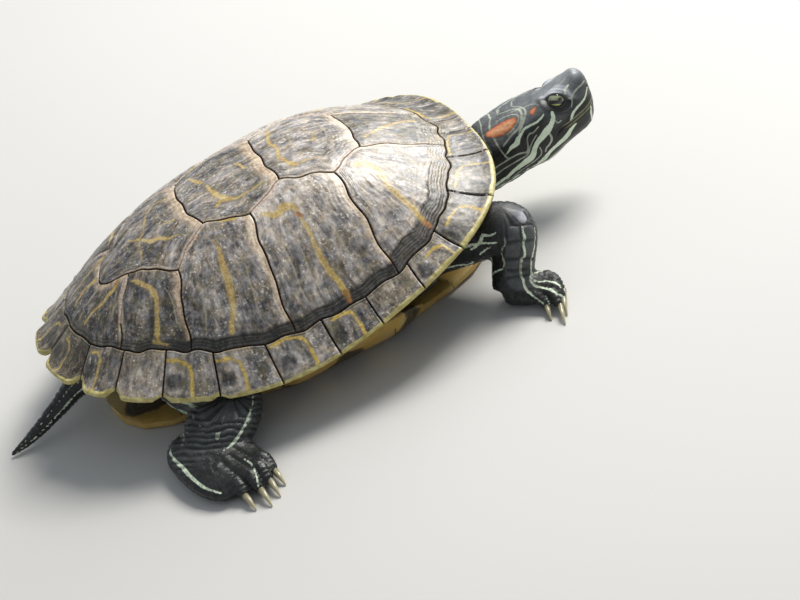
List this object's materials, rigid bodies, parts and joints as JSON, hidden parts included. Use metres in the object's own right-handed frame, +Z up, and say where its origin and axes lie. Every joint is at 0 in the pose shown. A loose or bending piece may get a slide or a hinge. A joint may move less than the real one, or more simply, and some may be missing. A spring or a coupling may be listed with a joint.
{
  "type": "turtle figure",
  "caption": "Life-size red-eared slider turtle, basking with its head raised: keeled shell of scutes, flat plastron, striped skin, clawed webbed feet and short tail.",
  "frame": {"origin": "on the plastron's flat underside, 110 mm behind the shell's front edge and on its middle plane", "axes": "+X forwards along the shell, +Y to the animal's left, +Z up; the plastron lies on Z = 0"},
  "size_m": [0.3116, 0.256, 0.0837],
  "materials": {
    "carapace_scute": "dull horn, olive grey with dark centres and ochre bars",
    "marginal_scute": "dull horn, grey with a yellow rim",
    "plastron": "dull horn, yellow with dark blotches",
    "skin": "scaly skin, near black with pale green stripes",
    "eye": "wet, yellow green with a dark bar"
  },
  "bodies": {
    "root": {"vertebral_1": "carapace_scute", "vertebral_2": "carapace_scute", "vertebral_3": "carapace_scute", "vertebral_4": "carapace_scute", "vertebral_5": "carapace_scute", "costal_r1": "carapace_scute", "costal_r2": "carapace_scute", "costal_r3": "carapace_scute", "costal_r4": "carapace_scute", "marginal_r1": "marginal_scute", "marginal_r2": "marginal_scute", "marginal_r3": "marginal_scute", "marginal_r4": "marginal_scute", "marginal_r5": "marginal_scute", "marginal_r6": "marginal_scute", "marginal_r7": "marginal_scute", "marginal_r8": "marginal_scute", "marginal_r9": "marginal_scute", "marginal_r10": "marginal_scute", "marginal_r11": "marginal_scute", "marginal_r12": "marginal_scute", "costal_l1": "carapace_scute", "costal_l2": "carapace_scute", "costal_l3": "carapace_scute", "costal_l4": "carapace_scute", "marginal_l1": "marginal_scute", "marginal_l2": "marginal_scute", "marginal_l3": "marginal_scute", "marginal_l4": "marginal_scute", "marginal_l5": "marginal_scute", "marginal_l6": "marginal_scute", "marginal_l7": "marginal_scute", "marginal_l8": "marginal_scute", "marginal_l9": "marginal_scute", "marginal_l10": "marginal_scute", "marginal_l11": "marginal_scute", "marginal_l12": "marginal_scute", "nuchal": "marginal_scute", "plastron": "plastron", "trunk": "skin", "neck": "skin", "head": "skin", "jaw": "skin", "tail": "skin", "eye_r": "eye", "upper_arm_r": "skin", "forearm_r": "skin", "hand_r": "skin", "thigh_r": "skin", "shank_r": "skin", "foot_r": "skin", "eye_l": "eye", "upper_arm_l": "skin", "forearm_l": "skin", "hand_l": "skin", "thigh_l": "skin", "shank_l": "skin", "foot_l": "skin"}
  },
  "joints": []
}
